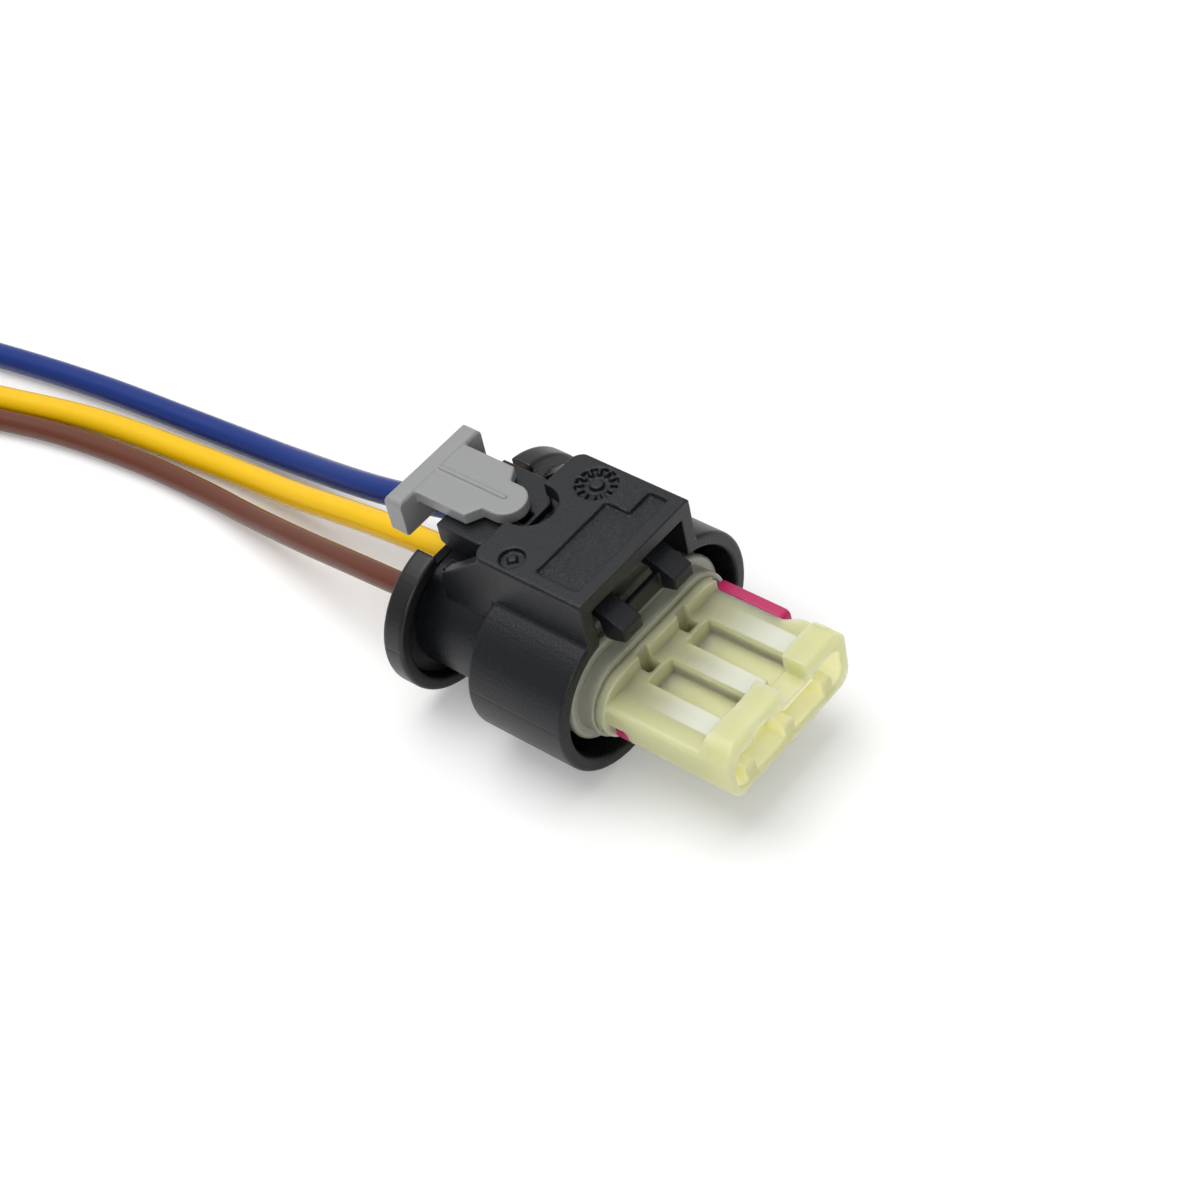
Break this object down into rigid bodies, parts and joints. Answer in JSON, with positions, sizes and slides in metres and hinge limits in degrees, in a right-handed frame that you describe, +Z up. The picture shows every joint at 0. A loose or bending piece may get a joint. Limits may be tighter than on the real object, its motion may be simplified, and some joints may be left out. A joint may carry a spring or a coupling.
{
  "type": "sealed wire connector",
  "caption": "Sealed oval in-line socket connector with a rocking latch, position-assurance slider, side-entry secondary lock and a short pigtail of insulated wires.",
  "frame": {"origin": "on the bench, below the middle of the connector's length without its wires", "axes": "+X across the row of terminals, +Y from the mating mouth towards the wires, +Z up from the flat of the shroud towards the latch"},
  "size_m": [0.0238, 0.1706, 0.0166],
  "materials": {
    "black_plastic": "fine moulded texture, satin",
    "seal_silicone": "translucent grey silicone",
    "carrier_nylon": "pale yellow-green, slightly translucent",
    "lock_magenta": "satin",
    "slider_grey": "satin",
    "tinned_copper": "bright tin plating on copper alloy",
    "spring_steel": "cold rolled",
    "wire_seal_silicone": "satin",
    "insulation_brown": "smooth insulation",
    "insulation_yellow": "smooth insulation",
    "insulation_blue": "smooth insulation",
    "bare_copper": "bare strands"
  },
  "bodies": {
    "plug": {"housing": "black_plastic", "rear_cover": "black_plastic", "interface_seal": "seal_silicone", "contact_carrier": "carrier_nylon", "terminal_left": "tinned_copper", "terminal_centre": "tinned_copper", "terminal_right": "tinned_copper", "over_spring_left": "spring_steel", "over_spring_centre": "spring_steel", "over_spring_right": "spring_steel", "wire_seal_left": "wire_seal_silicone", "wire_seal_centre": "wire_seal_silicone", "wire_seal_right": "wire_seal_silicone", "wire_brown": "insulation_brown", "wire_yellow": "insulation_yellow", "wire_blue": "insulation_blue", "strand_end_brown": "bare_copper", "strand_end_yellow": "bare_copper", "strand_end_blue": "bare_copper"},
    "latch": {"latch_lever": "black_plastic"},
    "cpa": {"cpa_slider": "slider_grey"},
    "lock": {"secondary_lock": "lock_magenta"}
  },
  "joints": [
    {"name": "latch_rock", "type": "hinge", "parent": "plug", "child": "latch", "pos_m": [0, 0.00225, 0.01365], "axis": [-1, 0, 0], "range_deg": [0, 7], "stiffness_Nm_per_rad": 0.1},
    {"name": "cpa_slide", "type": "slide", "parent": "latch", "child": "cpa", "axis": [0, -1, 0], "range_m": [0, 0.0025]},
    {"name": "lock_slide", "type": "slide", "parent": "plug", "child": "lock", "axis": [1, 0, 0], "range_m": [0, 0.0019]}
  ]
}
